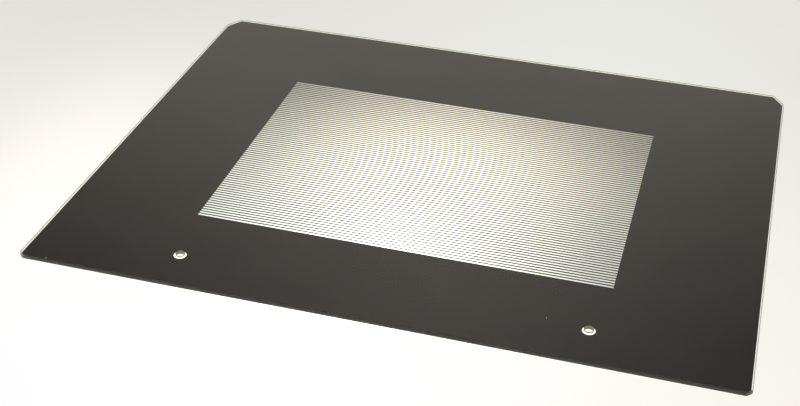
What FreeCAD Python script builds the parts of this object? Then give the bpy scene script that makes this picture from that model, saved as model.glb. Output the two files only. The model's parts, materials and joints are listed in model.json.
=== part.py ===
import FreeCAD, Part
import os
import Sketcher

# Oven door glass: one flat pane of toughened glass, drilled near one long edge
# for the two handle screws, with the corners at its other long edge cut back.
# It lies flat with its printed face down. X runs along the long edges, Y from the
# drilled edge to the cut corners, and Z up. The origin is the middle of the underside.

NODE = "door_glass"

# Driving dimensions, in millimetres.
DRIVING = [
    ("pane_length", "595.0"),
    ("pane_width", "476.0"),
    ("pane_thickness", "4.0"),
    ("hole_diameter", "7.5"),
    ("hole_spacing", "341.0"),
    ("hole_edge_distance", "41.0"),
    ("cut_corner_along_length", "10.5"),
    ("cut_corner_along_width", "17.0"),
    ("dubbed_corner_leg", "4.0"),
    ("edge_seam", "0.5"),
    ("hole_seam", "0.3"),
]

os.makedirs("parts", exist_ok=True)
doc = FreeCAD.newDocument("oven_door_glass")

sizes = doc.addObject("Spreadsheet::Sheet", "Sizes")
for row, (alias, value) in enumerate(DRIVING, start=1):
    sizes.set("A%d" % row, alias)
    sizes.set("B%d" % row, value)
    sizes.setAlias("B%d" % row, alias)
doc.recompute()

pane = doc.addObject("PartDesign::Body", "Pane")
pane.Label = NODE
pane.Placement = FreeCAD.Placement()


def origin_plane(role):
    # One of the pane's own origin planes.
    return next(plane for plane in pane.Origin.OriginFeatures if plane.Role == role)


def new_sketch(name):
    # A sketch in the plane of the underside.
    sketch = pane.newObject("Sketcher::SketchObject", name)
    sketch.AttachmentSupport = [(origin_plane("XY_Plane"), "")]
    sketch.MapMode = "FlatFace"
    return sketch


def tie(sketch, name, constraint, expression):
    # A named sketch dimension that follows the sheet.
    sketch.renameConstraint(sketch.addConstraint(constraint), name)
    sketch.setExpression("Constraints." + name, expression)


# A sketch numbers the ends of a line, its own origin and its upright axis like this.
START, END, CENTRE = range(1, 4)
ORIGIN, UPRIGHT_AXIS = range(-1, -3, -1)

# The outline, anticlockwise from the drilled edge: long sides, short sides and the
# four corner cuts between them. The corners' first places only give the order; the
# dimensions below set them.
outline = new_sketch("Outline")
DRILLED_EDGE, NEAR_RIGHT, RIGHT_EDGE, FAR_RIGHT, FAR_EDGE, FAR_LEFT, LEFT_EDGE, NEAR_LEFT = range(8)
half_length = sizes.pane_length / 2
half_width = sizes.pane_width / 2
dub = sizes.dubbed_corner_leg
cut_x = sizes.cut_corner_along_length
cut_y = sizes.cut_corner_along_width
corners = [
    FreeCAD.Vector(-half_length + dub, -half_width),
    FreeCAD.Vector(half_length - dub, -half_width),
    FreeCAD.Vector(half_length, -half_width + dub),
    FreeCAD.Vector(half_length, half_width - cut_y),
    FreeCAD.Vector(half_length - cut_x, half_width),
    FreeCAD.Vector(-half_length + cut_x, half_width),
    FreeCAD.Vector(-half_length, half_width - cut_y),
    FreeCAD.Vector(-half_length, -half_width + dub),
]
for corner, following in zip(corners, corners[1:] + corners[:1]):
    outline.addGeometry(Part.LineSegment(corner, following), False)
for side in range(len(corners)):
    following = (side + 1) % len(corners)
    outline.addConstraint(Sketcher.Constraint("Coincident", side, END, following, START))
outline.addConstraint(Sketcher.Constraint("Vertical", RIGHT_EDGE))
for one, one_end, other, other_end in (
    (DRILLED_EDGE, START, DRILLED_EDGE, END),
    (FAR_EDGE, START, FAR_EDGE, END),
    (RIGHT_EDGE, START, LEFT_EDGE, END),
    (RIGHT_EDGE, END, LEFT_EDGE, START),
):
    outline.addConstraint(Sketcher.Constraint("Symmetric", one, one_end, other, other_end, UPRIGHT_AXIS))
tie(
    outline, "length",
    Sketcher.Constraint("DistanceX", LEFT_EDGE, END, RIGHT_EDGE, START, sizes.pane_length),
    "Sizes.pane_length",
)
tie(
    outline, "width",
    Sketcher.Constraint("DistanceY", DRILLED_EDGE, END, FAR_EDGE, START, sizes.pane_width),
    "Sizes.pane_width",
)
tie(
    outline, "origin_to_drilled_edge",
    Sketcher.Constraint("DistanceY", DRILLED_EDGE, END, ORIGIN, START, half_width),
    "Sizes.pane_width / 2",
)
tie(
    outline, "dub_along_length",
    Sketcher.Constraint("DistanceX", NEAR_RIGHT, START, NEAR_RIGHT, END, dub),
    "Sizes.dubbed_corner_leg",
)
tie(
    outline, "dub_along_width",
    Sketcher.Constraint("DistanceY", NEAR_RIGHT, START, NEAR_RIGHT, END, dub),
    "Sizes.dubbed_corner_leg",
)
tie(
    outline, "cut_along_length",
    Sketcher.Constraint("DistanceX", FAR_RIGHT, END, FAR_RIGHT, START, cut_x),
    "Sizes.cut_corner_along_length",
)
tie(
    outline, "cut_along_width",
    Sketcher.Constraint("DistanceY", FAR_RIGHT, START, FAR_RIGHT, END, cut_y),
    "Sizes.cut_corner_along_width",
)

sheet_glass = pane.newObject("PartDesign::Pad", "SheetGlass")
sheet_glass.Profile = outline
sheet_glass.setExpression("Length", "Sizes.pane_thickness")
outline.Visibility = False
doc.recompute()

# The left screw hole is drilled straight through from the top face, and mirrored.
hole_centre = new_sketch("HoleCentre")
hole_centre.setExpression(".AttachmentOffset.Base.z", "Sizes.pane_thickness")
spot = FreeCAD.Vector(-sizes.hole_spacing / 2, sizes.hole_edge_distance - half_width)
hole_centre.addGeometry(Part.Circle(spot, FreeCAD.Vector(0, 0, 1), sizes.hole_diameter / 2), False)
tie(
    hole_centre, "half_spacing",
    Sketcher.Constraint("DistanceX", 0, CENTRE, ORIGIN, START, sizes.hole_spacing / 2),
    "Sizes.hole_spacing / 2",
)
tie(
    hole_centre, "below_middle",
    Sketcher.Constraint("DistanceY", 0, CENTRE, ORIGIN, START, half_width - sizes.hole_edge_distance),
    "Sizes.pane_width / 2 - Sizes.hole_edge_distance",
)
tie(
    hole_centre, "hole_size",
    Sketcher.Constraint("Diameter", 0, sizes.hole_diameter),
    "Sizes.hole_diameter",
)
doc.recompute()

screw_hole = pane.newObject("PartDesign::Hole", "ScrewHole")
screw_hole.Profile = hole_centre
screw_hole.DepthType = "ThroughAll"
screw_hole.setExpression("Diameter", "Sizes.hole_diameter")
hole_centre.Visibility = False
doc.recompute()

both_holes = pane.newObject("PartDesign::Mirrored", "BothScrewHoles")
both_holes.Originals = [screw_hole]
both_holes.MirrorPlane = (origin_plane("YZ_Plane"), [""])
pane.Tip = both_holes
doc.recompute()


# An edge lies in the top face or the underside if its box is no taller than this.
FLAT = 0.001


def rims(shape, round_ones):
    # Names of the edges round both faces: the holes' rims, or the sides of the outline.
    names = []
    for index, edge in enumerate(shape.Edges, start=1):
        is_flat = edge.BoundBox.ZLength < FLAT
        is_round = isinstance(edge.Curve, Part.Circle)
        if is_flat and is_round == round_ones:
            names.append("Edge%d" % index)
    return names


# The sharp arrises are ground off all round and at both rims of each hole.
seamed_edges = pane.newObject("PartDesign::Chamfer", "SeamedEdges")
seamed_edges.Base = (both_holes, rims(both_holes.Shape, False))
seamed_edges.setExpression("Size", "Sizes.edge_seam")
pane.Tip = seamed_edges
doc.recompute()

seamed_holes = pane.newObject("PartDesign::Chamfer", "SeamedHoles")
seamed_holes.Base = (seamed_edges, rims(seamed_edges.Shape, True))
seamed_holes.setExpression("Size", "Sizes.hole_seam")
pane.Tip = seamed_holes
doc.recompute()

# Every step is sound, and each cut took glass away.
for item in doc.Objects:
    if "Invalid" in item.State or "Error" in item.State:
        raise RuntimeError("%s failed: %s" % (item.Name, item.State))
steps = [sheet_glass, screw_hole, both_holes, seamed_edges, seamed_holes]
for before, after in zip(steps, steps[1:]):
    if not after.Shape.Volume < before.Shape.Volume:
        raise RuntimeError("%s cut nothing" % after.Name)
if pane.Shape.isNull() or not pane.Shape.isValid() or len(pane.Shape.Solids) != 1:
    raise RuntimeError("%s is not one sound solid" % pane.Label)

pane.Shape.exportStep("parts/%s.step" % pane.Label)
print(pane.Label, "volume", round(pane.Shape.Volume, 1), "box", pane.Shape.BoundBox)
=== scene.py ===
import json
from math import cos, pi, radians, sin

import bmesh
import bpy
from mathutils import Matrix, Vector, geometry


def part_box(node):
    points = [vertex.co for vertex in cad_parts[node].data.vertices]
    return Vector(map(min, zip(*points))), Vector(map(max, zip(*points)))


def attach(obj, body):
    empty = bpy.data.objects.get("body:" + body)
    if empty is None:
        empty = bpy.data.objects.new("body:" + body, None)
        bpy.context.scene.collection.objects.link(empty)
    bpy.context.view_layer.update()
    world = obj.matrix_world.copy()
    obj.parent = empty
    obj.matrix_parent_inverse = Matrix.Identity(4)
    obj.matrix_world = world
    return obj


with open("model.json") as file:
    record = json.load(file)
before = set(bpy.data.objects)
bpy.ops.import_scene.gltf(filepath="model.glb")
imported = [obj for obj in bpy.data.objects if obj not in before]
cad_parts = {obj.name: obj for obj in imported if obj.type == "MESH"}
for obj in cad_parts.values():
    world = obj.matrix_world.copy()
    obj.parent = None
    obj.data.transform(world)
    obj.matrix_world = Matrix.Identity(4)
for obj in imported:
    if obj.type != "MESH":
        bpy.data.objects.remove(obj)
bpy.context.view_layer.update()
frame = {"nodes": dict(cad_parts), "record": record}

# The pane: 4 mm clear float glass, cut, ground smooth along its edges, drilled and
# then toughened. Both faces stay polished, and the ground edges are matt.
MM = 0.001
PANE_IOR = 1.52
GREEN_OF_IRON = (0.17, 0.80, 0.58)
ABSORPTION_PER_METRE = 6.0
POLISHED = 0.0
EDGE_ROUGHNESS = 0.70
EDGE_TINT = (0.90, 0.91, 0.73)
FACE_LEVEL = 0.99
EDGE_LEVEL = 0.95
GRAIN_LOW = 0.3
GRAIN_HIGH = 0.7
ROUGHNESS_SWING = 0.2
GRIND_GRAIN = 0.15 * MM
GRIND_DEPTH = 0.004 * MM
CLEAR_PASS = (0.93, 0.955, 0.94)
screw_holes = [Vector(m["pos_m"][:2]) for m in frame["record"]["mounts"] if m["kind"] == "bore"]


def put(tree, kind, sockets=(), **options):
    # A shader node with its options and the values of its inputs.
    made = tree.nodes.new("ShaderNode" + kind)
    for name, value in options.items():
        setattr(made, name, value)
    for name, value in dict(sockets).items():
        made.inputs[name].default_value = value
    return made


def fresh_material(name):
    # An empty node material, with its output node.
    material = bpy.data.materials.new(name)
    material.use_nodes = True
    material.node_tree.nodes.clear()
    return material, material.node_tree, put(material.node_tree, "OutputMaterial")


glass, tree, glass_out = fresh_material("toughened_glass")
link = tree.links.new

# Ground glass wherever the surface is not one of the two faces.
place = put(tree, "TexCoord")
facing = put(tree, "SeparateXYZ")
link(place.outputs["Normal"], facing.inputs[0])
upright = put(tree, "Math", operation="ABSOLUTE")
link(facing.outputs["Z"], upright.inputs[0])
ground = put(tree, "MapRange", {"From Min": FACE_LEVEL, "From Max": EDGE_LEVEL})
link(upright.outputs[0], ground.inputs["Value"])
grain = put(tree, "TexNoise", {"Scale": 1 / GRIND_GRAIN, "Detail": 2.0, "Roughness": 0.6})
link(place.outputs["Object"], grain.inputs["Vector"])
matt = put(tree, "MapRange", {
    "From Min": GRAIN_LOW,
    "From Max": GRAIN_HIGH,
    "To Min": (1 - ROUGHNESS_SWING) * EDGE_ROUGHNESS,
    "To Max": (1 + ROUGHNESS_SWING) * EDGE_ROUGHNESS,
})
link(grain.outputs["Fac"], matt.inputs["Value"])
roughness = put(tree, "Mix", data_type="FLOAT")
roughness.inputs["A"].default_value = POLISHED
link(ground.outputs[0], roughness.inputs["Factor"])
link(matt.outputs[0], roughness.inputs["B"])
scratched = put(tree, "Math", operation="MULTIPLY")
link(grain.outputs["Fac"], scratched.inputs[0])
link(ground.outputs[0], scratched.inputs[1])
scratches = put(tree, "Bump", {"Distance": GRIND_DEPTH})
link(scratched.outputs[0], scratches.inputs["Height"])
tint = put(tree, "Mix", data_type="RGBA")
tint.inputs["A"].default_value = (1.0, 1.0, 1.0, 1.0)
tint.inputs["B"].default_value = (*EDGE_TINT, 1.0)
link(ground.outputs[0], tint.inputs["Factor"])

body = put(tree, "BsdfPrincipled", {"Metallic": 0.0, "IOR": PANE_IOR, "Transmission Weight": 1.0})
link(tint.outputs["Result"], body.inputs["Base Color"])
link(roughness.outputs[0], body.inputs["Roughness"])
link(scratches.outputs[0], body.inputs["Normal"])

# Light from the lamps, and light that the print and the floor throw back, goes
# straight through the pane.
ray = put(tree, "LightPath")
light_only = put(tree, "Math", operation="MAXIMUM")
link(ray.outputs["Is Shadow Ray"], light_only.inputs[0])
link(ray.outputs["Is Diffuse Ray"], light_only.inputs[1])
open_glass = put(tree, "BsdfTransparent", {"Color": (*CLEAR_PASS, 1.0)})
either = put(tree, "MixShader")
link(light_only.outputs[0], either.inputs["Fac"])
link(body.outputs[0], either.inputs[1])
link(open_glass.outputs[0], either.inputs[2])
link(either.outputs[0], glass_out.inputs["Surface"])
iron = put(tree, "VolumeAbsorption", {"Color": (*GREEN_OF_IRON, 1.0), "Density": ABSORPTION_PER_METRE})
link(iron.outputs[0], glass_out.inputs["Volume"])

pane = frame["nodes"]["door_glass"]
pane.data.materials.clear()
pane.data.materials.append(glass)
pane_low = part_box("door_glass")[0]

# The walls of the two screw holes: the same glass, left frosted by the diamond drill, so
# that they scatter about half of the light that meets them.
DRILLED_LIGHT = (0.90, 0.89, 0.77)
DRILLED_DARK = (0.72, 0.71, 0.59)
DRILLED_ROUGHNESS = 0.6
DRILLED_CLEAR = 0.55
DRILLED_GRAIN = 0.25 * MM
DRILLED_REACH = 4.5 * MM
WALL_TILT = 0.5
frosted, tree, frosted_out = fresh_material("drilled_glass")
link = tree.links.new
place = put(tree, "TexCoord")
pits = put(tree, "TexNoise", {"Scale": 1 / DRILLED_GRAIN, "Detail": 3.0, "Roughness": 0.6})
link(place.outputs["Object"], pits.inputs["Vector"])
shade = put(tree, "Mix", data_type="RGBA")
shade.inputs["A"].default_value = (*DRILLED_DARK, 1.0)
shade.inputs["B"].default_value = (*DRILLED_LIGHT, 1.0)
link(pits.outputs["Fac"], shade.inputs["Factor"])
scattering = put(tree, "BsdfPrincipled", {
    "Metallic": 0.0, "Roughness": DRILLED_ROUGHNESS, "IOR": PANE_IOR, "Transmission Weight": DRILLED_CLEAR})
link(shade.outputs["Result"], scattering.inputs["Base Color"])
link(scattering.outputs[0], frosted_out.inputs["Surface"])
pane.data.materials.append(frosted)
for face in pane.data.polygons:
    in_reach = min((Vector(face.center[:2]) - centre).length for centre in screw_holes) < DRILLED_REACH
    if in_reach and abs(face.normal.z) < WALL_TILT:
        face.material_index = 1

# The enamel print: one coat of near-black ceramic ink, screened on the underside and
# fired into it. It leaves a clear margin along the edges, a clear ring round each screw
# hole, and a window crossed by 70 fine lines parallel to the long edges.
EDGE_MARGIN = 1.2 * MM
RING_RADIUS = 5.35 * MM
RING_OFF_HOLE = Vector((0.0, -0.6 * MM))
WINDOW_LENGTH = 361.0 * MM
WINDOW_DEPTH = 258.5 * MM
WINDOW_FROM_DRILLED_EDGE = 100.7 * MM
LINE_COUNT = 70
LINE_SHARE = 0.45
COAT_THICKNESS = 0.03 * MM
COAT_BURIED = 0.08 * MM
COAT_WELD = 0.003 * MM
RING_POINTS = 72
PATCHES_PER_METRE = 14.0
PATCH_START = 0.35
PATCH_END = 0.75
ENAMEL_ROUGHNESS = 0.55
ENAMEL_SHEEN = 0.1

# Two small flaws of the screening, each with its centre and radius.
PINHOLES = (
    (Vector((-273.8 * MM, -234.3 * MM)), 0.45 * MM),
    (Vector((136.0 * MM, -191.4 * MM)), 0.26 * MM),
)
ENAMEL = (0.0130, 0.0104, 0.0095)
ENAMEL_THIN = (0.0185, 0.0150, 0.0135)


def outline_of(obj):
    # The pane's outline seen from above, anticlockwise.
    spots = sorted({(round(v.co.x, 6), round(v.co.y, 6)) for v in obj.data.vertices})
    hull = [Vector(spots[i]) for i in geometry.convex_hull_2d([Vector(s) for s in spots])]
    area = sum(a.cross(b) for a, b in zip(hull, hull[1:] + hull[:1]))
    return hull if area > 0 else hull[::-1]


def drawn_in(outline, margin):
    # An outline with each side moved inwards by the margin.
    sides = list(zip(outline, outline[1:] + outline[:1]))
    moved = []
    for start, end in sides:
        along = (end - start).normalized()
        inwards = Vector((-along.y, along.x)) * margin
        moved.append((start + inwards, end + inwards))
    corners = []
    for before, after in zip(moved[-1:] + moved[:-1], moved):
        corners.append(geometry.intersect_line_line(
            before[0].to_3d(), before[1].to_3d(), after[0].to_3d(), after[1].to_3d())[0])
    return corners


def rectangle(x0, y0, x1, y1):
    # The clear gap between two lines.
    return [Vector((x0, y0)), Vector((x1, y0)), Vector((x1, y1)), Vector((x0, y1))]


def ring(centre, radius):
    # A round opening, as an outline of many short sides.
    turns = [2 * pi * i / RING_POINTS for i in range(RING_POINTS)]
    return [centre + radius * Vector((cos(t), sin(t))) for t in turns]


window_near = pane_low.y + WINDOW_FROM_DRILLED_EDGE
pitch = WINDOW_DEPTH / (LINE_COUNT + 1)
half_line = LINE_SHARE * pitch / 2

shapes = [drawn_in(outline_of(pane), EDGE_MARGIN)]
for centre in screw_holes:
    shapes.append(ring(centre + RING_OFF_HOLE, RING_RADIUS))
for centre, radius in PINHOLES:
    shapes.append(ring(centre, radius))
for gap in range(LINE_COUNT + 1):
    low = window_near + gap * pitch + half_line
    high = window_near + (gap + 1) * pitch - half_line
    shapes.append(rectangle(-WINDOW_LENGTH / 2, low, WINDOW_LENGTH / 2, high))

stencil = bpy.data.curves.new("enamel_print", "CURVE")
stencil.dimensions = "2D"
stencil.fill_mode = "BOTH"
stencil.extrude = COAT_THICKNESS / 2
for shape in shapes:
    edge = stencil.splines.new("POLY")
    edge.points.add(len(shape) - 1)
    for point, corner in zip(edge.points, shape):
        point.co = (corner.x, corner.y, 0.0, 1.0)
    edge.use_cyclic_u = True
drawn = bpy.data.objects.new("stencil", stencil)
bpy.context.scene.collection.objects.link(drawn)
bpy.context.view_layer.update()
coat = bpy.data.meshes.new_from_object(drawn.evaluated_get(bpy.context.evaluated_depsgraph_get()))
bpy.data.objects.remove(drawn)
coat.transform(Matrix.Translation((0, 0, pane_low.z + COAT_BURIED + COAT_THICKNESS / 2)))
work = bmesh.new()
work.from_mesh(coat)
bmesh.ops.remove_doubles(work, verts=work.verts, dist=COAT_WELD)
bmesh.ops.recalc_face_normals(work, faces=work.faces)
work.to_mesh(coat)
work.free()
coat.name = "enamel_print"
enamel_print = bpy.data.objects.new("enamel_print", coat)
bpy.context.scene.collection.objects.link(enamel_print)

enamel, tree, enamel_out = fresh_material("enamel_print")
link = tree.links.new
place = put(tree, "TexCoord")
patchy = put(tree, "TexNoise", {"Scale": PATCHES_PER_METRE, "Detail": 4.0, "Roughness": 0.55})
link(place.outputs["Object"], patchy.inputs["Vector"])
thinness = put(tree, "MapRange", {"From Min": PATCH_START, "From Max": PATCH_END})
link(patchy.outputs["Fac"], thinness.inputs["Value"])
ink = put(tree, "Mix", data_type="RGBA")
ink.inputs["A"].default_value = (*ENAMEL, 1.0)
ink.inputs["B"].default_value = (*ENAMEL_THIN, 1.0)
link(thinness.outputs[0], ink.inputs["Factor"])
fired = put(tree, "BsdfPrincipled", {"Roughness": ENAMEL_ROUGHNESS, "Specular IOR Level": ENAMEL_SHEEN})
link(ink.outputs["Result"], fired.inputs["Base Color"])
link(fired.outputs[0], enamel_out.inputs["Surface"])
coat.materials.append(enamel)
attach(enamel_print, "root")

# The floor that the pane lies on: plain, pale and matt, brightest in front of the pane
# and under its window, where pools of light are painted on it. Most of its brightness is its own, and the
# rest keeps shadows.
FLOOR_RADIUS = 4.0
FLOOR_GAP = 0.3 * MM
FLOOR_SIDES = 96
FLOOR_FAR = (0.785, 0.772, 0.735)
FLOOR_NEAR = (0.930, 0.885, 0.830)
FLOOR_FAR_Y = 0.33
FLOOR_NEAR_Y = -0.28
LIT_SHARE = 0.35
UNDER_PANE_LIFT = 1.25
WINDOW_DIM_START = 20.0 * MM
WINDOW_DIM_END = 6.0 * MM
BELL_FALL = -0.5

# The glows are painted pools of light on the floor.
# Each glow has its strength, centre and spread. The ones under the pane were set from a first
# fit. The ones on the open floor are a least-squares fit of three bells to the floor in the photograph,
# as the fitting program printed them.
GLOWS_UNDER_PANE = [
    ((1.300, 1.130, 0.900), (0.000, 0.018, 0.0), (0.115, 0.098, 1.0)),
    ((1.230, 1.290, 1.190), (-0.033, -0.140, 0.0), (0.145, 0.120, 1.0)),
    ((2.300, 2.300, 2.100), (0.000, -0.165, 0.0), (0.050, 0.060, 1.0)),
]
GLOWS_ON_OPEN_FLOOR = [
    ((0.146, 0.133, 0.128), (-0.323, -0.077, 0.0), (0.067, 0.144, 1.0)),
    ((0.083, 0.103, 0.092), (0.115, 0.004, 0.0), (0.192, 0.397, 1.0)),
    ((0.092, 0.137, 0.206), (-0.123, -0.339, 0.0), (0.212, 0.153, 1.0)),
]

floor_mesh = bpy.data.meshes.new("floor")
work = bmesh.new()
bmesh.ops.create_circle(work, cap_ends=True, radius=FLOOR_RADIUS, segments=FLOOR_SIDES)
work.to_mesh(floor_mesh)
work.free()
floor = bpy.data.objects.new("floor", floor_mesh)
floor.location.z = pane_low.z - FLOOR_GAP
bpy.context.scene.collection.objects.link(floor)

floor_finish, tree, floor_out = fresh_material("floor")
link = tree.links.new
where = put(tree, "NewGeometry")
spot = put(tree, "SeparateXYZ")
link(where.outputs["Position"], spot.inputs[0])
nearness = put(
    tree, "MapRange", {"From Min": FLOOR_FAR_Y, "From Max": FLOOR_NEAR_Y}, interpolation_type="SMOOTHSTEP")
link(spot.outputs["Y"], nearness.inputs["Value"])
paint = put(tree, "Mix", data_type="RGBA")
paint.inputs["A"].default_value = (*FLOOR_FAR, 1.0)
paint.inputs["B"].default_value = (*FLOOR_NEAR, 1.0)
link(nearness.outputs[0], paint.inputs["Factor"])

# How far outside the pane's outline a spot is; inside it the distance is negative.
off_outline = None
pane_outline = outline_of(pane)
for start, end in zip(pane_outline, pane_outline[1:] + pane_outline[:1]):
    along = (end - start).normalized()
    outwards = Vector((along.y, -along.x, 0.0))
    reach = put(tree, "VectorMath", {1: outwards}, operation="DOT_PRODUCT")
    link(where.outputs["Position"], reach.inputs[0])
    off_side = put(tree, "Math", {1: outwards.dot(start.to_3d())}, operation="SUBTRACT")
    link(reach.outputs["Value"], off_side.inputs[0])
    if off_outline is None:
        off_outline = off_side
    else:
        farthest = put(tree, "Math", operation="MAXIMUM")
        link(off_outline.outputs[0], farthest.inputs[0])
        link(off_side.outputs[0], farthest.inputs[1])
        off_outline = farthest

# How far outside the printed window a spot is.
from_middle = put(tree, "VectorMath", {1: (0.0, window_near + WINDOW_DEPTH / 2, 0.0)}, operation="SUBTRACT")
link(where.outputs["Position"], from_middle.inputs[0])
aside = put(tree, "VectorMath", operation="ABSOLUTE")
link(from_middle.outputs[0], aside.inputs[0])
past_edges = put(tree, "VectorMath", {1: (WINDOW_LENGTH / 2, WINDOW_DEPTH / 2, 0.0)}, operation="SUBTRACT")
link(aside.outputs[0], past_edges.inputs[0])
past = put(tree, "SeparateXYZ")
link(past_edges.outputs[0], past.inputs[0])
off_window = put(tree, "Math", operation="MAXIMUM")
link(past.outputs["X"], off_window.inputs[0])
link(past.outputs["Y"], off_window.inputs[1])

# The floor has painted light under the pane, a little brighter where it shows through the clear margin
# and rings. Under the window, painted shade takes away its own light, and only the painted glows are left.
under_pane = put(tree, "Math", {1: 0.0}, operation="LESS_THAN")
link(off_outline.outputs[0], under_pane.inputs[0])
open_floor = put(tree, "Math", {0: 1.0}, operation="SUBTRACT")
link(under_pane.outputs[0], open_floor.inputs[1])
lift = put(tree, "MapRange", {"To Min": 1.0, "To Max": UNDER_PANE_LIFT})
link(under_pane.outputs[0], lift.inputs["Value"])
beside_window = put(
    tree, "MapRange", {"From Min": WINDOW_DIM_END, "From Max": WINDOW_DIM_START},
    interpolation_type="SMOOTHSTEP")
link(off_window.outputs[0], beside_window.inputs["Value"])
share = put(tree, "Math", operation="MULTIPLY")
link(lift.outputs[0], share.inputs[0])
link(beside_window.outputs[0], share.inputs[1])
own_share = put(tree, "Math", {1: 1 - LIT_SHARE}, operation="MULTIPLY")
link(share.outputs[0], own_share.inputs[0])
shown = put(tree, "VectorMath", operation="SCALE")
link(paint.outputs["Result"], shown.inputs[0])
link(own_share.outputs[0], shown.inputs["Scale"])

# Each glow fades like a bell with its distance from its centre, counted in spreads, and
# stays in its own region.
glows = [(under_pane, patch) for patch in GLOWS_UNDER_PANE]
glows += [(open_floor, patch) for patch in GLOWS_ON_OPEN_FLOOR]
for region, (strength, centre, spread) in glows:
    off_centre = put(tree, "VectorMath", {1: centre}, operation="SUBTRACT")
    link(where.outputs["Position"], off_centre.inputs[0])
    in_spreads = put(tree, "VectorMath", {1: spread}, operation="DIVIDE")
    link(off_centre.outputs[0], in_spreads.inputs[0])
    square = put(tree, "VectorMath", operation="DOT_PRODUCT")
    link(in_spreads.outputs[0], square.inputs[0])
    link(in_spreads.outputs[0], square.inputs[1])
    fade = put(tree, "Math", {1: BELL_FALL}, operation="MULTIPLY")
    link(square.outputs["Value"], fade.inputs[0])
    bell = put(tree, "Math", operation="EXPONENT")
    link(fade.outputs[0], bell.inputs[0])
    in_region = put(tree, "Math", operation="MULTIPLY")
    link(bell.outputs[0], in_region.inputs[0])
    link(region.outputs[0], in_region.inputs[1])
    glow = put(tree, "VectorMath", {0: strength}, operation="SCALE")
    link(in_region.outputs[0], glow.inputs["Scale"])
    sum_so_far = put(tree, "VectorMath", operation="ADD")
    link(shown.outputs[0], sum_so_far.inputs[0])
    link(glow.outputs[0], sum_so_far.inputs[1])
    shown = sum_so_far
lit = put(tree, "VectorMath", operation="SCALE")
lit.inputs["Scale"].default_value = LIT_SHARE
link(paint.outputs["Result"], lit.inputs[0])

ray = put(tree, "LightPath")
seen = put(tree, "Math", operation="MAXIMUM")
link(ray.outputs["Is Camera Ray"], seen.inputs[0])
link(ray.outputs["Is Glossy Ray"], seen.inputs[1])
seen_through = put(tree, "Math", operation="MAXIMUM")
link(seen.outputs[0], seen_through.inputs[0])
link(ray.outputs["Is Transmission Ray"], seen_through.inputs[1])
matt_floor = put(tree, "BsdfDiffuse")
link(lit.outputs[0], matt_floor.inputs["Color"])
own_light = put(tree, "Emission")
link(shown.outputs[0], own_light.inputs["Color"])
link(seen_through.outputs[0], own_light.inputs["Strength"])
both = put(tree, "AddShader")
link(matt_floor.outputs[0], both.inputs[0])
link(own_light.outputs[0], both.inputs[1])
link(both.outputs[0], floor_out.inputs["Surface"])
floor_mesh.materials.append(floor_finish)

# The studio: soft light from all round, strongest overhead. What the pane mirrors is a
# pale wall behind it, which ends in shade above and to the sides.
WALL = (0.790, 0.733, 0.645)
SHADE = (0.140, 0.120, 0.099)
OVERHEAD = (1.88, 1.92, 1.98)
WALL_TURN = radians(-13.2)
WALL_SIDE_SLOPE = 0.757
WALL_SIDE_MOST = 0.30
WALL_TOP_START = 0.558
WALL_TOP_END = 0.86
OVERHEAD_START = 0.72
OVERHEAD_END = 0.90
BEHIND = (0.800, 0.795, 0.755)

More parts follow.
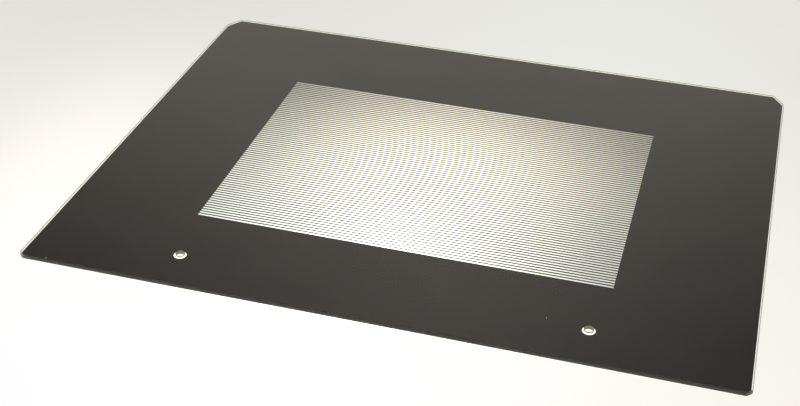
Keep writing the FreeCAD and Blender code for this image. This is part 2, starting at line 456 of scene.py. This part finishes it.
world = bpy.data.worlds.new("studio")
bpy.context.scene.world = world
world.use_nodes = True
tree = world.node_tree
tree.nodes.clear()
link = tree.links.new
way = put(tree, "TexCoord")
turned = put(tree, "VectorRotate", {"Angle": WALL_TURN}, rotation_type="Z_AXIS")
link(way.outputs["Generated"], turned.inputs["Vector"])
split = put(tree, "SeparateXYZ")
link(turned.outputs[0], split.inputs[0])
aside = put(tree, "Math", operation="ABSOLUTE")
link(split.outputs["X"], aside.inputs[0])
aside_most = put(tree, "Math", {1: WALL_SIDE_MOST}, operation="MINIMUM")
link(aside.outputs[0], aside_most.inputs[0])
height = put(tree, "Math", {1: WALL_SIDE_SLOPE}, operation="MULTIPLY_ADD")
link(aside_most.outputs[0], height.inputs[0])
link(split.outputs["Z"], height.inputs[2])
above = put(
    tree, "MapRange", {"From Min": WALL_TOP_START, "From Max": WALL_TOP_END}, interpolation_type="SMOOTHSTEP")
link(height.outputs[0], above.inputs["Value"])
surround = put(tree, "Mix", data_type="RGBA")
surround.inputs["A"].default_value = (*WALL, 1.0)
surround.inputs["B"].default_value = (*SHADE, 1.0)
link(above.outputs[0], surround.inputs["Factor"])
overhead = put(
    tree, "MapRange", {"From Min": OVERHEAD_START, "From Max": OVERHEAD_END}, interpolation_type="SMOOTHSTEP")
link(split.outputs["Z"], overhead.inputs["Value"])
sky = put(tree, "Mix", data_type="RGBA")
sky.inputs["B"].default_value = (*OVERHEAD, 1.0)
link(surround.outputs["Result"], sky.inputs["A"])
link(overhead.outputs[0], sky.inputs["Factor"])
ray = put(tree, "LightPath")
looked_at = put(tree, "Mix", data_type="RGBA")
looked_at.inputs["B"].default_value = (*BEHIND, 1.0)
link(sky.outputs["Result"], looked_at.inputs["A"])
link(ray.outputs["Is Camera Ray"], looked_at.inputs["Factor"])
shine = put(tree, "Background")
link(looked_at.outputs["Result"], shine.inputs["Color"])
world_out = put(tree, "OutputWorld")
link(shine.outputs[0], world_out.inputs["Surface"])

# The camera stands in front of the right-hand end of the pane and looks down on it.
CAMERA_AT = (250.86 * MM, -1051.94 * MM, 659.08 * MM)
CAMERA_AIM = (-19.70 * MM, -62.84 * MM, 0.0)
CAMERA_ROLL = radians(1.216)
CAMERA_LENS = 62.1
CAMERA_NEAR_CLIP = 10.0 * MM

view = bpy.data.cameras.new("camera")
view.lens = CAMERA_LENS
view.clip_start = CAMERA_NEAR_CLIP
camera = bpy.data.objects.new("camera", view)
bpy.context.scene.collection.objects.link(camera)
aim = (Vector(CAMERA_AIM) - Vector(CAMERA_AT)).to_track_quat("-Z", "Y").to_matrix().to_4x4()
camera.matrix_world = Matrix.Translation(CAMERA_AT) @ aim @ Matrix.Rotation(CAMERA_ROLL, 4, "Z")
bpy.context.scene.camera = camera
bpy.context.scene.view_settings.view_transform = "Standard"
